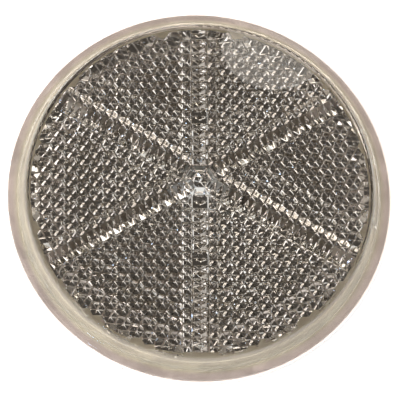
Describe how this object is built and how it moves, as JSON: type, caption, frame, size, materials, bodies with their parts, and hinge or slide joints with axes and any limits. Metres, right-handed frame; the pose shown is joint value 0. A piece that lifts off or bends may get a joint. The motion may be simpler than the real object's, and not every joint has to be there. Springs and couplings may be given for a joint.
{
  "type": "round reflector",
  "caption": "Round clear reflector with corner-cube prisms in six sectors, on a shallow back cover that holds a nut for one fixing screw.",
  "frame": {"origin": "middle of the flat back face, which is also the bottom centre of the bounding box", "axes": "+Z along the optical axis, out of the clear front face; +Y towards the side to which the centre of the six prism sectors is offset; +X completes the frame"},
  "size_m": [0.06, 0.06, 0.008],
  "materials": {
    "clear_lens": "clear acrylic, polished front and prisms",
    "cover_plastic": "off-white moulded plastic, satin to glossy",
    "nut_metal": "bright zinc plated"
  },
  "bodies": {
    "root": {"lens": "clear_lens", "back_cover": "cover_plastic", "fixing_nut": "nut_metal"}
  },
  "joints": []
}
